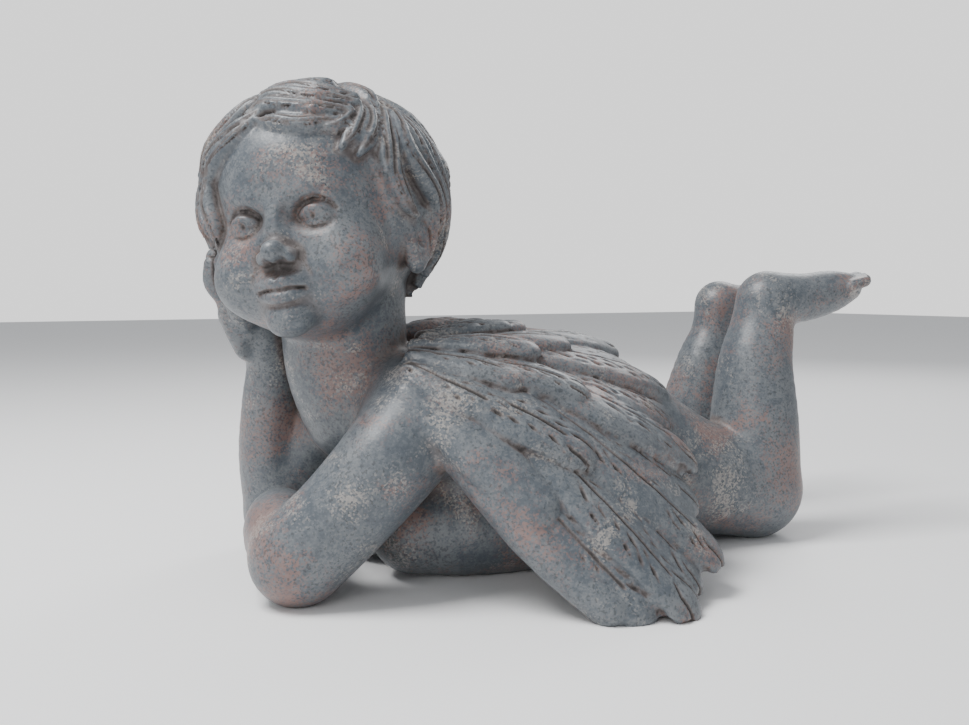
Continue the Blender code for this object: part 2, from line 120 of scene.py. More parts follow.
# Locks of hair over the scalp: half width, half thickness, lift, then waypoints (degrees round from the
# brow to the left, degrees up from the ears)
scalpCentre = (-10, 0, 14)
scalpSize = (81, 72, 70)
foreLocks = [
    (8, 8, 9, [(52, 46), (29, 54), (4, 62), (-14, 61), (-24, 54)]),
    (7.5, 8, 9, [(50, 40), (28, 44), (6, 51), (-12, 53), (-22, 47)]),
    (7, 8, 8, [(44, 34), (24, 36), (8, 41), (-8, 44), (-17, 40)]),
    (6.5, 7, 6, [(36, 29), (18, 28), (6, 31), (-8, 35)]),
    (6, 7, 6, [(40, 48), (44, 36), (38, 27), (30, 25)]),
    (6.5, 7, 6, [(54, 50), (50, 34), (43, 22), (36, 14)]),
    (7, 7, 6, [(66, 56), (58, 36), (51, 21), (44, 11)]),
    (7, 7, 6, [(76, 54), (66, 34), (59, 17), (56, 3)]),
    (7, 7, 6, [(74, 46), (66, 26), (61, 10), (62, -1), (68, -11), (76, -16)]),
    (8, 8, 8, [(84, 58), (76, 37), (71, 18), (79, 4), (91, -6), (97, -16), (95, -26)]),
    (8, 8, 7, [(90, 54), (86, 34), (85, 17), (93, 2), (101, -8), (105, -20), (103, -33)]),
    (8.5, 8, 8, [(98, 60), (96, 40), (99, 24), (101, 10), (107, -2), (109, -14), (115, -30), (119, -42)]),
    (7.5, 8, 8, [(-14, 62), (-30, 51), (-43, 38), (-50, 26), (-54, 16)]),
    (6.5, 7, 7, [(-6, 41), (-19, 34), (-33, 28), (-46, 21), (-54, 14)]),
    (6, 7, 6, [(-10, 36), (-24, 26), (-36, 17), (-44, 8)]),
    (7, 7, 6, [(-56, 18), (-61, 4), (-53, -9), (-52, -20)]),
    (6.5, 7, 5, [(-43, 12), (-44, 0), (-41, -12), (-47, -24)]),
    (8, 8, 8, [(-30, 66), (-50, 54), (-62, 39), (-66, 24), (-61, 9)]),
    (8, 8, 8, [(-56, 60), (-68, 44), (-74, 28), (-76, 13), (-69, -1), (-74, -15)]),
    (8.5, 8, 7, [(-76, 60), (-84, 42), (-90, 24), (-91, 8), (-85, -6), (-91, -20), (-87, -32)]),
    (9, 9, 8, [(64, 76), (40, 67), (14, 72), (-16, 72), (-38, 63)]),
    (9, 9, 8, [(84, 82), (72, 66), (68, 52), (66, 42)]),
    (9, 8, 8, [(20, 85), (-24, 79), (-46, 69), (-60, 56)]),
]
# The hair round the back, in the same degrees. The swing (how much, how fast) makes the spacing uneven, the
# size is half width, half thickness, lift and flare, each lock follows the wave, and the ends come in turn.
lowerLocks = {"count": 15, "first": 106, "apart": 10.6, "swing": (3, 2.1), "size": (9.5, 8, 6, 5),
              "wave": [(-10, 66), (3, 48), (-4, 28), (5, 8), (-3, -12), (6, -28)],
              "ends": (-40, -45, -50), "endAside": 2, "bend": None}
upperLocks = {"count": 9, "first": 112, "apart": 17.5, "swing": (4, 1.7), "size": (9.5, 8, 11, 2),
              "wave": [(-16, 78), (-2, 60), (-6, 42), (4, 24)],
              "ends": (2, -14, 10, -6), "endAside": 8, "bend": -2}  # the bend lies halfway to the end
crownLocks = {"count": 7, "first": 60, "apart": 42, "swing": (0, 0), "size": (12, 9, 7, 0),
              "wave": [(0, 88), (16, 78), (24, 66), (20, 52)], "ends": ()}
wing = [  # feather ribs of the left wing from the leading edge to the spine, each from root to tip
    [(-178, -78, 132), (-152, -114, 94), (-121, -151, 48), (-91, -186, 10)],
    [(-172, -72, 140), (-128, -118, 106), (-88, -164, 56), (-50, -197, 12)],
    [(-168, -64, 147), (-108, -110, 124), (-50, -150, 72), (4, -174, 20)],
    [(-160, -54, 153), (-88, -88, 144), (-28, -116, 112), (34, -118, 74)],
    [(-150, -40, 158), (-70, -56, 162), (0, -60, 146), (56, -54, 121)],
    [(-136, -22, 164), (-80, -22, 172), (-20, -20, 170), (30, -16, 155)],
]
# Feathers: place across the fan at the root and at the tip (0 leading edge, 1 spine), start and end along it,
# half width, half thickness, lift off the wing
feathers = [
    (0.00, 0.00, 0.00, 1.00, 16, 15, -4), (0.14, 0.07, 0.05, 1.00, 20, 9, -1),
    (0.34, 0.21, 0.05, 1.00, 24, 9, -1), (0.47, 0.42, 0.05, 0.94, 26, 9, -1),
    (0.58, 0.62, 0.05, 0.91, 28, 9, -1), (0.70, 0.82, 0.05, 0.91, 25, 9, -1),
    (0.84, 1.00, 0.05, 0.96, 19, 9, -1), (0.24, 0.14, 0.05, 0.96, 20, 9, -5),
    (0.40, 0.32, 0.05, 0.92, 25, 9, -5), (0.52, 0.52, 0.05, 0.87, 29, 9, -5),
    (0.64, 0.72, 0.05, 0.85, 27, 9, -5), (0.77, 0.91, 0.05, 0.88, 22, 9, -5),
    (0.04, 0.08, 0.00, 0.55, 20, 13, 4), (0.28, 0.35, 0.06, 0.48, 23, 8, 6),
    (0.52, 0.57, 0.06, 0.45, 18, 8, 6), (0.74, 0.80, 0.06, 0.42, 16, 8, 5),
    (0.93, 0.97, 0.06, 0.40, 13, 8, 4), (0.26, 0.27, 0.00, 0.26, 16, 8, 10),
    (0.50, 0.47, 0.00, 0.26, 15, 8, 10), (0.72, 0.68, 0.00, 0.29, 17, 8, 10),
    (0.94, 0.91, 0.00, 0.28, 14, 8, 8),
]
bladeTilt = 0.2  # how far each feather leans over the next one towards the spine


def smoothUnion(a, b, reach):
    overlap = np.maximum(reach - np.abs(a - b), 0) / reach
    return np.minimum(a, b) - overlap * overlap * reach / 4


def hollowed(d, tool, reach):  # takes the tool's form out of the stone
    return -smoothUnion(-d, tool, reach)


def curve(stations, steps):  # a smooth curve through all the stations
    s = np.array(stations, float)
    ends = np.vstack([2 * s[0] - s[1], s, 2 * s[-1] - s[-2]])
    t = (np.arange(steps) / steps)[:, None]
    out = []
    for a, b, c, d in zip(ends[:-3], ends[1:-2], ends[2:-1], ends[3:]):
        out.append(0.5 * (2 * b + (c - a) * t + (2 * a - 5 * b + 4 * c - d) * t ** 2
                          + (3 * b - a - 3 * c + d) * t ** 3))
    return np.vstack(out + [s[-1:]])


def headAxes():  # the head's own forward, left and up, in the figure's directions
    turn, lift, lean = (math.radians(v) for v in (headTurn, headLift, headLean))
    flat = np.array([-math.cos(turn), -math.sin(turn), 0])
    left = np.array([math.sin(turn), -math.cos(turn), 0])
    up = np.array([0, 0, 1.0])
    forward, up = flat * math.cos(lift) + up * math.sin(lift), up * math.cos(lift) - flat * math.sin(lift)
    return np.array([forward, left * math.cos(lean) + up * math.sin(lean),
                     up * math.cos(lean) - left * math.sin(lean)])


def onHead(q):
    return np.array(headCentre) + headSize * np.asarray(q, float) @ headAxes()


def fromHead(p):  # the same places in the head's own directions
    return (p - np.array(headCentre)) @ headAxes().T / headSize


def onScalp(waypoints, lift, flare=0):
    way = curve(waypoints, 3)
    rounds, ups = np.radians(way[:, 0]), np.radians(way[:, 1])
    ray = np.stack([np.cos(ups) * np.cos(rounds), np.cos(ups) * np.sin(rounds), np.sin(ups)], 1)
    out = ray / np.array(scalpSize)
    out /= np.linalg.norm(out, axis=1, keepdims=True)
    lift = (lift + flare * np.linspace(0, 1, len(way)) ** 2)[:, None]
    return onHead(np.array(scalpCentre) + ray * scalpSize + out * lift), out @ headAxes()


def strand(path, out, width, thick, taper, rootShare=0.25, tipShare=0.3, thinnest=0.4):
    # its stations: place, half width, half thickness, the way the flat side faces, length so far
    along = np.linspace(0, 1, len(path))
    full = np.minimum(1, taper[0] + (1 - taper[0]) * along / rootShare) * np.minimum(
        1, taper[1] + (1 - taper[1]) * (1 - along) / tipShare)
    run = np.concatenate([[0], np.cumsum(np.linalg.norm(np.diff(path, axis=0), axis=1))])
    return np.column_stack([path, width * full, thick * (thinnest + (1 - thinnest) * full), out, run])


def hairStrands():
    locks = [(w, t, lift, 0, way) for w, t, lift, way in foreLocks]
    for kind in (lowerLocks, upperLocks, crownLocks):
        for i in range(kind["count"]):
            swing, pace = kind["swing"]
            turn = kind["first"] + i * kind["apart"] + swing * math.sin(i * pace)
            way = [(turn + aside, up) for aside, up in kind["wave"]]
            if kind["ends"]:
                end = kind["ends"][i % len(kind["ends"])]
                if kind["bend"] is not None:
                    way.append((turn + kind["bend"], (way[-1][1] + end) / 2))
                way.append((turn + kind["endAside"], end))
            locks.append((*kind["size"], way))
    return [strand(*onScalp(way, lift, flare), w, t, (0.55, 0.3)) for w, t, lift, flare, way in locks]


def wingPoint(across, along):
    ribs = np.array([curve(r, 8) for r in wing])  # rib, station, xyz
    place = along * (ribs.shape[1] - 1)
    low = int(min(place, ribs.shape[1] - 2))
    cut = ribs[:, low] + (place - low) * (ribs[:, low + 1] - ribs[:, low])
    dense = curve(cut, 16)
    at = across * (len(dense) - 1)
    low = int(min(at, len(dense) - 2))
    return dense[low] + (at - low) * (dense[low + 1] - dense[low])


def wingStrands(stations=9, stepAlong=0.02, stepAcross=0.03):
    out = []
    for root, tip, start, end, width, thick, lift in feathers:
        path, faces = [], []
        for along in np.linspace(start, end, stations):
            across = root + (tip - root) * (along - start) / (end - start)
            here = wingPoint(across, along)
            further, beside = min(along + stepAlong, 1), min(across + stepAcross, 1)
            down = wingPoint(across, further) - wingPoint(across, further - stepAlong)
            side = wingPoint(beside, along) - wingPoint(beside - stepAcross, along)
            face = np.cross(down, side)
            face *= -1 if face[2] < 0 else 1
            side /= np.linalg.norm(side)
            face = face / np.linalg.norm(face) + bladeTilt * side
            face /= np.linalg.norm(face)
            path.append(here + face * lift)
            faces.append(face)
        out.append(strand(np.array(path), np.array(faces), width, thick, (0.5, 0.8), 0.6))
    return out


def mirrored(stations):
    out = np.array(stations, float)
    out[:, 1] *= -1
    if out.shape[1] > 5:
        out[:, 6] *= -1
    return out


def meld(d, p, s, margin, blend, cuts=None):  # joins one limb or strand to the distances found so far
    reach = s[:, 3].max() + margin
    low, high = s[:, :3].min(0) - reach, s[:, :3].max(0) + reach
    if not len(p) or np.any(p.min(0) > high) or np.any(p.max(0) < low):
        return
    near = np.flatnonzero(np.all((p > low) & (p < high), axis=1))
    q = p[near]
    best = np.full(len(q), farAway)
    for a, b in zip(s[:-1], s[1:]):
        reach = max(a[3], b[3]) + margin
        middle = (a[:3] + b[:3]) / 2
        along = b[:3] - a[:3]
        length = math.sqrt(along @ along) + 1e-9
        off = q - middle
        here = np.flatnonzero((off * off).sum(1) < (reach + length / 2) ** 2)
        off = off[here]
        t = np.clip(off @ along / length ** 2 + 0.5, 0, 1)[:, None]
        off -= (t - 0.5) * along
        size = a[3:] + t * (b[3:] - a[3:])
        far = (off * off).sum(1)
        if s.shape[1] == 4:  # a round limb
            gap = np.sqrt(far) - size[:, 0]
        else:  # a flattened strand
            up = (off * size[:, 2:5]).sum(1)
            flat = np.maximum(far - up * up, 0)
            wide, thick = size[:, 0] ** 2, size[:, 1] ** 2
            k = np.sqrt(flat / wide + up * up / thick)
            gap = k * (k - 1) / np.maximum(np.sqrt(flat / wide ** 2 + up * up / thick ** 2), 1e-6)
            if cuts:
                aside = off @ np.cross(along / length, a[5:8])
                gap = gap + cuts(aside, size[:, 0], size[:, 5], s)
        best[here] = np.minimum(best[here], gap)
    d[near] = smoothUnion(d[near], best, blend)


def ellipsoidDistance(q, centre, radii):
    o = (q - np.array(centre, float)) / np.array(radii, float)
    k = np.linalg.norm(o, axis=1)
    g = np.linalg.norm(o / np.array(radii, float), axis=1)
    return k * (k - 1) / np.maximum(g, 1e-6)


# Fine carving of the face, in the head's own directions: blend, radius, stations
faceRidges = [
    (9, 3.2, [(64, 9, 4), (64.5, 18, 9), (59.5, 28, 11), (50, 37, 7)]),  # brow
    (2, 2.6, [(58, 12.5, -8.8), (62.9, 17, -6.2), (65.5, 24, -4.1), (62.7, 30.5, -5.2),
              (54.5, 36, -8.8)]),  # upper lid
    (2, 2.0, [(58, 12.5, -8.8), (61, 17.5, -11.6), (62.5, 24, -12.6), (60, 30.5, -11.6),
              (54.5, 36, -8.8)]),  # lower lid
]
faceRidges += [(b, r, [(x, -y, z) for x, y, z in way]) for b, r, way in faceRidges]
faceRidges += [
    (3, 2.8, [(64, -16, -52), (70, -9, -49.5), (73.5, -3.6, -47.6), (73.2, 0, -48.6), (73.5, 3.6, -47.6),
              (70, 9, -49.5), (64, 16, -52)]),  # upper lip
    (3, 3.4, [(64, -13, -54.5), (70, -7, -57), (72, 0, -58), (70, 7, -57), (64, 13, -54.5)]),  # lower lip
    (2, 3.2, [(8, 64, -13), (5, 70, -4), (-4, 73, -1), (-12, 74, -7), (-15, 74, -19), (-12, 72, -29),
              (-6, 70, -35)]),  # rim of the left ear; the hand and the locks hide the right one
    (4, 5, [(0, 66, -34), (-2, 66.5, -38)]),  # ear lobe
    (1.5, 2, [(0, 69, -9), (-7, 72, -12), (-9, 72, -20), (-6, 71, -29), (2, 69, -32)]),  # its inner fold
    (2, 3.2, [(8, 65, -22), (8, 65, -25)]),  # the small flap before it
]
faceCuts = [  # depth, half width, way over the front of the face (left, up)
    (2.4, 1.1, [(-16, -52.6), (-8, -52.4), (0, -53.2), (8, -52.4), (16, -52.6)]),  # between the lips
    (0.8, 2.4, [(0, -39), (0, -45)]),  # groove under the nose
]
for side in (1, -1):
    faceCuts.append((0.9, 1.3, [(side * 12, -4), (side * 17, 1), (side * 24, 3.6), (side * 31, 2.2),
                                (side * 37, -4)]))  # fold over the lid
for side in (1, -1):
    faceCuts.append((0.7, 3.0, [(side * 11, -28), (side * 16, -36), (side * 20, -44)]))  # beside the nose

faceFront = 40  # the cuts are made only this far forward
socketAhead, socketRadii = 16, (13, 15, 10)  # the hollow before each eye
iris = {"left": 24, "up": -8.4, "radius": 4.4, "width": 0.9, "depth": 0.45, "pupil": 1.9, "pupilDepth": 1.5}
irisFront = 60
nostrilPlace, nostrilRadii = (77, 5, -36.5), (6, 2.6, 2.8)
earHollow, earRadii = (1, 77, -20), (6, 9, 8)
capLift = 3  # the hair's ground stands this far off the scalp
hairEdge, hairEdgeRise = 30, 0.40  # how far forward the ground ends, and how much more for each step up
hairEdgeShare = 0.93  # makes the height over that slanting edge about a true distance

carving = {
    "blockVoxel": 0.0045,  # metres, grain of the roughed-out block
    "carveVoxel": 0.0025,  # metres, grain of the carved surface
    "facets": 190000,  # triangles of the finished piece
    # the rest in design units, or in shares of a lock's or feather's half width
    "hairCut": 1.7,  # depth of the comb lines in the locks
    "hairLine": 1.4,  # half width of a comb line
    "hairLines": (-0.42, 0.36),  # where they run across a lock
    "hairWander": 0.14,  # how far they stray to each side
    "hairWave": 8,  # length of the wander
    "quillCut": 2.2,  # depth of the line down the middle of a feather
    "quillLine": 1.3,
    "barbCut": 2.6,  # depth of the slanting cuts beside it
    "barbLine": 1.2,
    "barbPitch": 15,
    "barbSlant": 2.0,
    "barbInner": 0.12,  # where a cut starts, out from the quill
    "barbOuter": (0.5, 0.35),  # where it ends, and how much of that is chance
    "smoothFrom": 12,  # a feather thicker than this, as the leading edge is, has no cuts
}


def hairCuts(aside, wide, run, s):  # comb lines that wander a little along the lock
    out = 0
    for line in carving["hairLines"]:
        place = (line + carving["hairWander"] * np.sin(run / carving["hairWave"] + s[0, 0])) * wide
        out = out + np.exp(-((aside - place) / carving["hairLine"]) ** 2)
    return carving["hairCut"] * out * np.clip(run / 8, 0, 1) * np.clip((s[-1, 8] - run) / 9, 0, 1)


def featherCuts(aside, wide, run, s):  # a quill line and slanting cuts beside it
    length = s[-1, 8]
    if s[:, 4].max() > carving["smoothFrom"]:
        return 0
    out = (carving["quillCut"] * np.exp(-(aside / carving["quillLine"]) ** 2)
           * np.clip((length * 0.95 - run) / 5, 0, 1))
    side = np.where(aside > 0, 1.0, 0.0)
    turn = (run - carving["barbSlant"] * np.abs(aside)) / carving["barbPitch"] + 0.45 * side + s[0, 1] * 0.7
    which = np.floor(turn)
    chance = np.sin(which * 12.9 + side * 7.1 + s[0, 0]) * 43.7  # differs from cut to cut, 0 to 1
    chance -= np.floor(chance)
    off = np.abs(turn - which - 0.5) * carving["barbPitch"] * 0.45
    share = np.abs(aside) / wide
    least, spare = carving["barbOuter"]
    inside = (np.clip((share - carving["barbInner"]) * 12, 0, 1)
              * np.clip((least + spare * chance - share) * 12, 0, 1))
    kept = np.clip((chance - 0.2) * 9, 0, 1)
    return out + carving["barbCut"] * np.exp(-(off / carving["barbLine"]) ** 2) * inside * kept


def lineGap(q, a, b):  # distance from the line a to b
    off = q - a
    t = np.clip(off @ (b - a) / ((b - a) @ (b - a)), 0, 1)[:, None]
    return np.linalg.norm(off - t * (b - a), axis=1)


def strokes(d, q, marks, margin=12):  # ridges laid on the head
    for blend, radius, stations in marks:
        way = curve([(*s, 0) for s in stations], 5)[:, :3]
        near = np.flatnonzero(np.all((q > way.min(0) - margin) & (q < way.max(0) + margin), axis=1))
        gap = np.full(len(near), farAway)
        taper = 0.55 + 0.45 * np.sin(np.linspace(0, math.pi, len(way)))
        for i, (a, b) in enumerate(zip(way[:-1], way[1:])):
            gap = np.minimum(gap, lineGap(q[near], a, b) - radius * taper[i])
        d[near] = smoothUnion(d[near], gap, blend)


def faceLines(d, q, marks):  # lines cut into the front of the face
    for depth, width, stations in marks:
        way = curve([(*s, 0, 0) for s in stations], 6)[:, :2]
        low, high = way.min(0) - 3 * width, way.max(0) + 3 * width
        near = np.flatnonzero((q[:, 0] > faceFront) & np.all((q[:, 1:] > low) & (q[:, 1:] < high), axis=1))
        gap = np.full(len(near), farAway)
        for a, b in zip(way[:-1], way[1:]):
            gap = np.minimum(gap, lineGap(q[near][:, 1:], a, b))
        d[near] += depth * np.exp(-(gap / width) ** 2)


def headDistance(q, fine):
    d = None
    for reach, centre, radii in headForms:
        e = ellipsoidDistance(q, centre, radii)
        d = e if d is None else smoothUnion(d, e, reach)
    for x, y, z in eyes:
        d = hollowed(d, ellipsoidDistance(q, (x + socketAhead, y, z), socketRadii), 8)
        d = smoothUnion(d, ellipsoidDistance(q, (x, y, z), eyeball), 1.5)
    strokes(d, q, faceRidges)
    if fine:
        faceLines(d, q, faceCuts)
    for side in (1, -1):
        x, y, z = nostrilPlace
        d = hollowed(d, ellipsoidDistance(q, (x, side * y, z), nostrilRadii), 2)
        if fine:
            ring = np.hypot(q[:, 1] - side * iris["left"], q[:, 2] - iris["up"])
            d += (q[:, 0] > irisFront) * (
                iris["depth"] * np.exp(-((ring - iris["radius"]) / iris["width"]) ** 2)
                + iris["pupilDepth"] * np.exp(-(ring / iris["pupil"]) ** 2))
    d = hollowed(d, ellipsoidDistance(q, earHollow, earRadii), 2.5)
    cap = ellipsoidDistance(q, scalpCentre, np.array(scalpSize) + capLift)
    cap = np.maximum(cap, (q[:, 0] - hairEdge - hairEdgeRise * q[:, 2]) * hairEdgeShare)
    return smoothUnion(d, cap, 4)


def handStrands():
    out = []
    for width, thick, stations in hand:
        path = onHead(curve(stations, 4))
        facing = np.tile(np.array(palmFace) @ headAxes(), (len(path), 1))
        out.append(strand(path, facing, width, thick, (1, 0.9)))
    return out


# Toes from the big one on: radius, place across the ball of the foot, length
toeSizes = [(7.6, 0, 20), (6, 9, 20), (5.7, 16, 18), (5.3, 22, 15.5), (5, 27, 13)]
ballHalf = 11.5
toeSides = [(9, -1), (12, 1)]  # which limb is the foot, and which side of it the big toe is on


def toes(stations, side):  # five toes beyond the ball of a foot, the big one on the inner side
    ahead = np.array(stations[-1][:3], float) - stations[-2][:3]
    ahead /= np.linalg.norm(ahead)
    across = np.cross(ahead, (0, 0, 1)) * side
    start = np.array(stations[-1][:3], float)
    out = []
    for i, (radius, place, length) in enumerate(toeSizes):
        root = start + across * (ballHalf - place) - ahead * (2 + abs(i - 1)) + (0, 0, 2)
        tip = root + ahead * length + (0, 0, 1)
        out.append(curve([(*root, radius), (*tip, radius * 0.9)], 3))
    return out


def prepare():  # every limb and strand as stations, with how far it melts in and how far round it matters
    forms = []
    for reach, stations, twin in limbs:
        for s in ([stations, mirrored(stations)] if twin else [stations]):
            forms.append((reach, curve(s, 4).astype(np.float32), 24))
    for n, side in toeSides:
        forms += [(2, s, 8) for s in toes(limbs[n][1], side)]
    forms += [(3, s, 12) for s in handStrands()]
    wings = []
    for s in wingStrands():
        wings += [s.astype(np.float32), mirrored(s).astype(np.float32)]
    return forms, wings, [s.astype(np.float32) for s in hairStrands()]


forms, wings, hair = prepare()
headReach = 130  # nothing of the head is further from its centre


def field(p, fine=True):  # about the distance from the carved surface, below 0 inside it
    d = np.full(len(p), farAway, np.float32)
    for reach, s, margin in forms:
        meld(d, p, s, margin, reach)
    q = (p - np.array(headCentre, np.float32)) @ headAxes().T.astype(np.float32) / headSize
    near = np.flatnonzero((q * q).sum(1) < headReach ** 2)
    if len(near):
        d[near] = smoothUnion(d[near], headDistance(q[near], fine) * headSize, 8)
        hairs, around = np.full(len(near), farAway, np.float32), p[near]
        for s in hair:
            meld(hairs, around, s, 6, 1, fine and hairCuts)
        d[near] = smoothUnion(d[near], hairs, 3)
    blades = np.full(len(p), farAway, np.float32)
    for s in wings:
        meld(blades, p, s, 7, 1.5, fine and featherCuts)
    return smoothUnion(d, blades, 6)


def balls(s):  # one ball, flattened or round, at each station
    bm = bmesh.new()
    for row in s:
        place = Matrix.Translation(Vector(row[:3]))
        if len(row) == 4:
            bmesh.ops.create_icosphere(bm, subdivisions=2, radius=row[3], matrix=place)
        else:
            turn = Vector(row[5:8]).to_track_quat("Z", "X").to_matrix().to_4x4()
            bmesh.ops.create_icosphere(bm, subdivisions=2, radius=1,
                                       matrix=place @ turn @ Matrix.Diagonal((row[3], row[3], row[4], 1)))
    return bm


def roughedOut():
    lumps = [balls(s) for reach, s, margin in forms] + [balls(s) for s in wings + hair]
    place = (Matrix.Translation(Vector(headCentre)) @ Matrix(headAxes().tolist()).transposed().to_4x4()
             @ Matrix.Scale(headSize, 4))
    bm = bmesh.new()
    for reach, centre, radii in headForms + [(0, e, eyeball) for e in eyes]:
        there = place @ Matrix.Translation(Vector(centre)) @ Matrix.Diagonal((*radii, 1))
        bmesh.ops.create_icosphere(bm, subdivisions=3, radius=1, matrix=there)
    lump = bpy.data.meshes.new("lump")
    for other in lumps:
        other.to_mesh(lump)
        bm.from_mesh(lump)
        other.free()
    bpy.data.meshes.remove(lump)
    bmesh.ops.scale(bm, vec=(figureLength / designLength,) * 3, verts=bm.verts)
    mesh = bpy.data.meshes.new("putto")
    bm.to_mesh(mesh)
    bm.free()
    return mesh


def applied(obj, kind, **settings):
    modifier = obj.modifiers.new(kind, kind)
    for name, value in settings.items():
        setattr(modifier, name, value)
    mesh = bpy.data.meshes.new_from_object(obj.evaluated_get(bpy.context.evaluated_depsgraph_get()))
    obj.modifiers.clear()
    obj.data = mesh


def places(obj):  # the vertices, in design units
    co = np.empty(len(obj.data.vertices) * 3, np.float32)
    obj.data.vertices.foreach_get("co", co)
    return co.reshape(-1, 3) * np.float32(designLength / figureLength)


def setPlaces(obj, p):
    co = p * np.float32(figureLength / designLength)
    obj.data.vertices.foreach_set("co", co.astype(np.float32).ravel())
    obj.data.update()


def facings(obj):
    normals = np.empty(len(obj.data.vertices) * 3, np.float32)
    obj.data.vertex_normals.foreach_get("vector", normals)
    return normals.reshape(-1, 3)


def shared(work, p, chosen=None, lots=16, width=60):  # works on lots of neighbouring points, four at once
    order = np.lexsort((p[:, 1] // width, p[:, 0] // width))
    if chosen is not None:
        order = order[chosen[order]]
    with ThreadPoolExecutor(4) as pool:
        list(pool.map(work, np.array_split(order, lots)))


def drawn(obj, move, chosen=None):  # moves the chosen vertices
    p, normals = places(obj), facings(obj)

    def settle(part):
        p[part] = move(p[part], normals[part])

    shared(settle, p, chosen)
    setPlaces(obj, p)


def limited(step, furthest):
    size = np.linalg.norm(step, axis=1, keepdims=True)
    return step * np.minimum(1, furthest / np.maximum(size, 1e-9))


def carveBlock(obj, feel=0.3):  # draws the vertices down the field's slope onto its surface
    corners = np.array([(1, 1, 1), (1, -1, -1), (-1, 1, -1), (-1, -1, 1)], np.float32) * feel

    def move(q, normals):
        values = [field(q + c, False) for c in corners]
        slope = sum(c * v[:, None] for c, v in zip(corners, values)) / (4 * feel ** 2)
        step = -(sum(values) / 4 / np.maximum((slope ** 2).sum(1), 0.3))[:, None] * slope
        return q + limited(step, 5)

    drawn(obj, move)


def carve(obj, rounds, fine, chosen=None, feel=0.4):  # draws the vertices onto it along their own normals
    def move(q, normals):
        for i in range(rounds):
            here = field(q, fine)
            if i == 0:
                rise = np.clip((field(q + feel * normals, fine) - here) / feel, 0.35, 2)
            q = q + limited(-(here / rise)[:, None] * normals, 2.5)
        return q

    drawn(obj, move, chosen)


def reworked(obj, work, *values):  # runs bmesh operators on the piece
    bm = bmesh.new()
    bm.from_mesh(obj.data)
    work(bm, *values)
    bm.to_mesh(obj.data)
    bm.free()


def finer(bm, chosen):  # splits the faces where the carving is finest
    bm.verts.ensure_lookup_table()
    edges = [e for e in bm.edges if chosen[e.verts[0].index] and chosen[e.verts[1].index]]
    bmesh.ops.subdivide_edges(bm, edges=edges, cuts=1, use_grid_fill=True)
    bmesh.ops.triangulate(bm, faces=bm.faces[:])


def sawnFlat(bm):  # saws the underside off level with the ground
    bmesh.ops.bisect_plane(bm, geom=bm.verts[:] + bm.edges[:] + bm.faces[:], dist=1e-5, plane_co=(0, 0, 0),
                           plane_no=(0, 0, 1), clear_inner=True)
    bmesh.ops.holes_fill(bm, edges=[e for e in bm.edges if e.is_boundary], sides=0)
    bmesh.ops.triangulate(bm, faces=bm.faces[:])


def islandsOf(bm):  # the groups of joined vertices
    seen, islands = set(), []
    for v in bm.verts:
        if v not in seen:
            island, todo = [], [v]
            seen.add(v)
            while todo:
                w = todo.pop()
                island.append(w)
                for e in w.link_edges:
                    u = e.other_vert(w)
                    if u not in seen:
                        seen.add(u)
                        todo.append(u)
            islands.append(island)
    return sorted(islands, key=len)


def cleaned(bm, nearGround=0.0003):  # levels the underside and keeps only the stone itself
    for v in bm.verts:
        if v.co.z < nearGround:
            v.co.z = 0
    bmesh.ops.dissolve_degenerate(bm, dist=1e-6, edges=bm.edges[:])
    bmesh.ops.triangulate(bm, faces=bm.faces[:])
    crumbs = [v for island in islandsOf(bm)[:-1] for v in island]
    bmesh.ops.delete(bm, geom=crumbs, context="VERTS")
    bmesh.ops.recalc_face_normals(bm, faces=bm.faces[:])


def eased(obj, turns, sharpest=0.25):  # smooths the few spots where the surface has folded over itself
    mesh = obj.data
    count, p, facing = len(mesh.vertices), places(obj), facings(obj)
    loops = np.empty(len(mesh.loops), np.int32)
    mesh.loops.foreach_get("vertex_index", loops)
    face = np.empty(len(mesh.polygons) * 3, np.float32)
    mesh.polygons.foreach_get("normal", face)
    sides = np.empty(len(mesh.polygons), np.int32)
    mesh.polygons.foreach_get("loop_total", sides)
    worst = np.ones(count, np.float32)
    np.minimum.at(worst, loops, (np.repeat(face.reshape(-1, 3), sides, 0) * facing[loops]).sum(1))
    edges = np.empty(len(mesh.edges) * 2, np.int32)
    mesh.edges.foreach_get("vertices", edges)
    edges = edges.reshape(-1, 2)
    folded = worst < sharpest
    for _ in range(2):  # and two rings of vertices round them
        touched = edges[folded[edges].any(1)]
        folded[touched.ravel()] = True
    edges = edges[folded[edges].any(1)]
    ways = np.maximum(np.bincount(edges.ravel(), minlength=count), 1)
    for _ in range(turns):
        total = np.stack([np.bincount(edges[:, 0], p[edges[:, 1], i], count)
                          + np.bincount(edges[:, 1], p[edges[:, 0], i], count) for i in range(3)], 1)
        p[folded] = (total / ways[:, None])[folded]
    setPlaces(obj, p)
    print("eased", int(folded.sum()), "of", count)


def hollowness(p, normals, deep=1.8, close=3, wide=9):  # 0 on open stone, 1 deep in the grooves
    out = np.zeros(len(p), np.float32)

    def look(part):
        here = p[part]
        cut = -field(here, False) / deep
        openClose = field(here + close * normals[part], True) / close
        openWide = field(here + wide * normals[part], False) / wide
        around = np.clip(1 - openClose, 0, 1) * 0.7 + np.clip(1 - openWide, 0, 1) * 0.3
        out[part] = np.clip(np.maximum(around, cut * 0.9), 0, 1)

    shared(look, p)
    return out


def within(p, box):  # box: lowest and highest along X, Y and Z, None where it is open
    kept = np.ones(len(p), bool)
    for i, (low, high) in enumerate(box):
        if low is not None:
            kept &= p[:, i] > low
        if high is not None:
            kept &= p[:, i] < high
    return kept


wingBox = [(-185, 80), (None, None), (None, 190)]  # in design units
faceBox = [(54, None), (-43, 43), (-64, 8)]  # in the head's own directions
fineHead = 115  # the head is finer this far round its centre


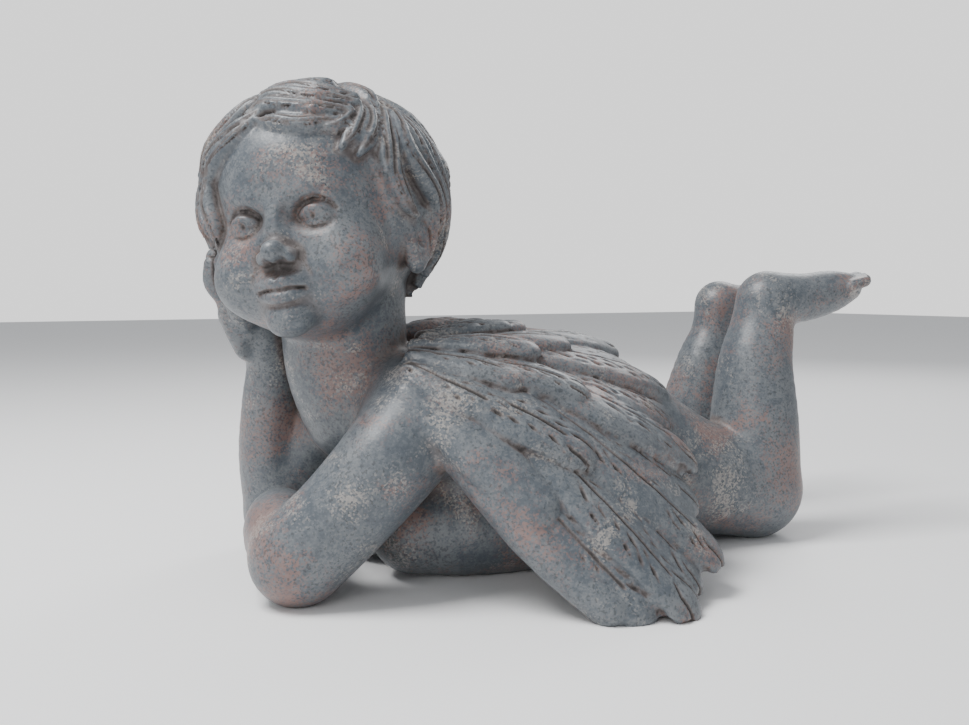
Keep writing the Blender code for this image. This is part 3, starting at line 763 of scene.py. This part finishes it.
def detailed(obj, above):  # the head and the wings, where the carving is finest
    p = places(obj)
    q = fromHead(p)
    wingSide = within(p, wingBox)
    if above:
        wingSide &= facings(obj)[:, 2] > -0.1
    return ((q * q).sum(1) < fineHead ** 2) | wingSide


def setIntoBox(obj, box):  # brings the piece to the CAD part's own box
    co = np.array([v.co for v in obj.data.vertices])
    low, high = co.min(0), co.max(0)
    cadLow, cadHigh = (np.array(v) for v in box)
    scale = (cadHigh - cadLow) / (high - low)
    print("set into the box by", scale)
    obj.data.transform(Matrix.Translation(Vector(cadLow)) @ Matrix.Diagonal((*scale, 1))
                       @ Matrix.Translation(Vector(-low)))


def carvedStatue():
    obj = bpy.data.objects.new("carvedStatue", roughedOut())
    bpy.context.scene.collection.objects.link(obj)
    applied(obj, "REMESH", mode="VOXEL", voxel_size=carving["blockVoxel"])
    carveBlock(obj)
    carve(obj, 1, False)
    print("block carved", len(obj.data.vertices))
    applied(obj, "REMESH", mode="VOXEL", voxel_size=carving["carveVoxel"])
    carve(obj, 1, False)
    reworked(obj, finer, detailed(obj, True))
    reworked(obj, finer, within(fromHead(places(obj)), faceBox))
    print("finer on the head and wings", len(obj.data.vertices))
    carve(obj, 2, True, detailed(obj, False))
    eased(obj, 6)
    print("fine carving done")
    reworked(obj, sawnFlat)
    applied(obj, "DECIMATE", ratio=carving["facets"] / len(obj.data.polygons))
    reworked(obj, cleaned)
    hollow = obj.data.attributes.new("hollow", "FLOAT", "POINT")
    hollow.data.foreach_set("value", hollowness(places(obj), facings(obj)))
    setIntoBox(obj, cadBox)
    obj.data.shade_smooth()
    print("statue", len(obj.data.polygons), "faces")
    return obj


class Wire:  # a shader socket that takes part in Python sums
    def __init__(self, graph, socket):
        self.graph, self.socket = graph, socket

    def math(self, operation, *values):
        return self.graph.node("ShaderNodeMath", {"operation": operation}, dict(enumerate((self,) + values)))

    def __add__(self, other):
        return self.math("ADD", other)

    def __mul__(self, other):
        return self.math("MULTIPLY", other)

    def __sub__(self, other):
        return self.math("SUBTRACT", other)

    def __rsub__(self, other):
        return self.graph.node("ShaderNodeMath", {"operation": "SUBTRACT"}, {0: other, 1: self})

    __radd__, __rmul__ = __add__, __mul__

    def step(self, low, high):  # 0 below low, 1 above high, smooth between
        return self.graph.node("ShaderNodeMapRange", {"interpolation_type": "SMOOTHSTEP"},
                               {"Value": self, "From Min": low, "From Max": high})


class Graph:
    def __init__(self, name):
        self.material = bpy.data.materials.new(name)
        self.material.use_nodes = True
        self.tree = self.material.node_tree
        self.shader = self.tree.nodes["Principled BSDF"]

    def node(self, kind, settings, inputs, output=0):
        made = self.tree.nodes.new(kind)
        for name, value in settings.items():
            setattr(made, name, value)
        for name, value in inputs.items():
            if isinstance(value, Wire):
                self.tree.links.new(value.socket, made.inputs[name])
            else:
                made.inputs[name].default_value = value
        return Wire(self, made.outputs[output])

    def mix(self, factor, a, b):
        if not isinstance(a, Wire):
            a = (*a, 1)
        if not isinstance(b, Wire):
            b = (*b, 1)
        return self.node("ShaderNodeMix", {"data_type": "RGBA"}, {"Factor": factor, 6: a, 7: b}, 2)

    def feed(self, name, value):
        if isinstance(value, Wire):
            self.tree.links.new(value.socket, self.shader.inputs[name])
        else:
            self.shader.inputs[name].default_value = value


granite = {
    "grain": 0.0013,  # metres across a crystal
    "mottle": 0.006,  # metres across the mixed light and dark
    "patch": 0.05,  # metres across a cloud of one colour
    "slate": (0.072, 0.086, 0.102),
    "ash": (0.150, 0.162, 0.172),
    "salmon": (0.245, 0.140, 0.116),
    "cream": (0.36, 0.325, 0.29),
    "mica": (0.030, 0.034, 0.038),
    # painted shade: near-black colour laid into the deepest grooves and hollows, where shadow falls
    "paintedShade": (0.016, 0.015, 0.014),
    "rust": (0.17, 0.085, 0.045),
    # how much of each colour covers what lies under it
    "salmonShare": 0.7,
    "creamShare": 0.6,
    "micaShare": 0.5,
    "rustShare": 0.30,
    "paintedShadeShare": 0.84,
    "roughness": 0.40,
    "grooveRoughness": 0.35,  # added in the grooves
    "pitDepth": 0.0008,
    # clouds the photo shows: place and reach, in metres
    "salmonClouds": [((-0.225, 0.085, 0.105), 0.050), ((-0.205, -0.03, 0.150), 0.035),
                     ((0.150, -0.085, 0.060), 0.045), ((0.165, -0.065, 0.165), 0.030),
                     ((0.030, -0.110, 0.075), 0.025), ((-0.120, 0.10, 0.10), 0.04)],
    "creamClouds": [((-0.185, -0.070, 0.150), 0.022), ((-0.160, -0.105, 0.130), 0.026),
                    ((-0.230, -0.095, 0.075), 0.020), ((-0.06, 0.02, 0.165), 0.03)],
}


def graniteFinish():
    g = Graph("granite")
    place = g.node("ShaderNodeTexCoord", {}, {}, 3)

    def noise(size, detail=2.0, distortion=0.0, seed=0.0):
        return g.node("ShaderNodeTexNoise", {"noise_dimensions": "4D"},
                      {"Vector": place, "W": seed, "Scale": 1 / size, "Detail": detail,
                       "Distortion": distortion})

    def clouds(spots, ground, crystal):  # 1 inside the clouds, ragged at their edges
        most = ground
        for centre, reach in spots:
            far = g.node("ShaderNodeVectorMath", {"operation": "DISTANCE"}, {0: place, 1: centre}, 1)
            most = most.math("MAXIMUM", ground * 0.55 + 0.42 - far * (0.22 / reach))
        return (most + (crystal - 0.5) * 0.22).step(0.50, 0.66)

    crystals = g.node("ShaderNodeTexVoronoi", {"feature": "F1"},
                      {"Vector": place, "Scale": 1 / granite["grain"]}, 1)
    tone = g.node("ShaderNodeSeparateColor", {}, {"Color": crystals}, 0)
    kind = g.node("ShaderNodeSeparateColor", {}, {"Color": crystals}, 1)
    mottle = noise(granite["mottle"], 3.0, 0.3)
    broad = noise(granite["patch"] * 0.8, 3.0, 0.0, 2.2)
    light = ((tone - 0.5) * 0.35 + (mottle - 0.5) * 1.1 + broad).step(0.15, 0.85)
    base = g.mix(light, granite["slate"], granite["ash"])
    warm = noise(granite["patch"], 3.0, 0.4, 1.3)
    pale = noise(granite["patch"] * 0.7, 3.0, 0.5, 4.7)
    salmon = clouds(granite["salmonClouds"], warm - 0.04, kind)
    base = g.mix(salmon * granite["salmonShare"], base, granite["salmon"])
    cream = clouds(granite["creamClouds"], pale - 0.10, tone)
    base = g.mix(cream * granite["creamShare"], base, granite["cream"])
    flecks = noise(granite["grain"] * 1.5, 1.0, 0.0, 8.1)
    flecks = (flecks + (broad - 0.5) * 0.4).step(0.58, 0.68)
    base = g.mix(flecks * granite["micaShare"], base, granite["mica"])
    hollow = g.node("ShaderNodeAttribute", {"attribute_name": "hollow"}, {}, 2)
    base = g.mix(hollow.step(0.15, 0.45) * granite["rustShare"], base, granite["rust"])
    # painted shade: the deep grooves are darkened almost to black, as shadow would darken them (the rust
    # before it is patina)
    base = g.mix(hollow.step(0.24, 0.85) * granite["paintedShadeShare"], base, granite["paintedShade"])
    g.feed("Base Color", base)
    g.feed("Roughness", granite["roughness"] + (mottle - 0.5) * 0.25
           + hollow.step(0.2, 0.6) * granite["grooveRoughness"])
    pits = noise(granite["grain"] * 1.3, 4.0, 0.0, 6.6)
    g.feed("Normal", g.node("ShaderNodeBump", {},
                            {"Strength": 0.25, "Distance": granite["pitDepth"], "Height": pits}))
    return g.material


statue = carvedStatue()
statue.data.materials.clear()
statue.data.materials.append(graniteFinish())
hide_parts("putto_statue")
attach(statue, "root")
print("granite on")

studio = {
    "cameraTurn": -30,  # degrees round from the figure's left side
    "cameraPlace": (-0.47515, -0.68647, 0.20555),
    "cameraTilt": 4.156,  # degrees down
    "focalPixels": 1039,
    "pictureWidth": 969,  # pixels
    "floorTone": (0.95, 0.95, 0.95),
    "floorHalf": 6,
    "skyLight": ((0.95, 0.97, 1, 1), 0.55),  # colour and strength of the light it gives
    "skySeen": ((1, 1, 1, 1), 1.4),  # and of the backdrop in the picture
    "lightsAim": (-0.03, 0, 0.15),
    "lights": [("topLight", (-0.9, 0.1, 1.6), 0.8, 40), ("sideLight", (-1.7, -1.3, 0.8), 0.9, 9),
               ("backLight", (1.3, 0.9, 1.2), 0.8, 10)],  # name, place, size and watts
}


def pavedFloor():
    bm = bmesh.new()
    bmesh.ops.create_grid(bm, x_segments=1, y_segments=1, size=studio["floorHalf"])
    mesh = bpy.data.meshes.new("floor")
    bm.to_mesh(mesh)
    bm.free()
    floor = bpy.data.objects.new("floor", mesh)
    bpy.context.scene.collection.objects.link(floor)
    paint = Graph("floorPaint")
    paint.feed("Base Color", (*studio["floorTone"], 1))
    paint.feed("Roughness", 0.8)
    mesh.materials.append(paint.material)


def studioSky():
    world = bpy.data.worlds.new("studio")
    bpy.context.scene.world = world
    world.use_nodes = True
    nodes, links = world.node_tree.nodes, world.node_tree.links
    shown = nodes.new("ShaderNodeMixShader")
    links.new(nodes.new("ShaderNodeLightPath").outputs["Is Camera Ray"], shown.inputs[0])
    for i, (tone, strength) in enumerate((studio["skyLight"], studio["skySeen"])):
        sky = nodes.new("ShaderNodeBackground")
        sky.inputs["Color"].default_value, sky.inputs["Strength"].default_value = tone, strength
        links.new(sky.outputs[0], shown.inputs[i + 1])
    links.new(shown.outputs[0], nodes["World Output"].inputs["Surface"])


def softLights():
    for name, place, size, power in studio["lights"]:
        data = bpy.data.lights.new(name, "AREA")
        data.size, data.energy = size, power
        light = bpy.data.objects.new(name, data)
        light.location = place
        aim = Vector(studio["lightsAim"]) - Vector(place)
        light.rotation_euler = aim.to_track_quat("-Z", "Y").to_euler()
        bpy.context.scene.collection.objects.link(light)


def photoCamera():
    data = bpy.data.cameras.new("camera")
    data.sensor_width = 36
    data.lens = studio["focalPixels"] / studio["pictureWidth"] * data.sensor_width
    camera = bpy.data.objects.new("camera", data)
    camera.location = studio["cameraPlace"]
    camera.rotation_euler = (math.radians(90 - studio["cameraTilt"]), 0, math.radians(studio["cameraTurn"]))
    bpy.context.scene.collection.objects.link(camera)
    bpy.context.scene.camera = camera


pavedFloor()
studioSky()
softLights()
photoCamera()
print("studio set")
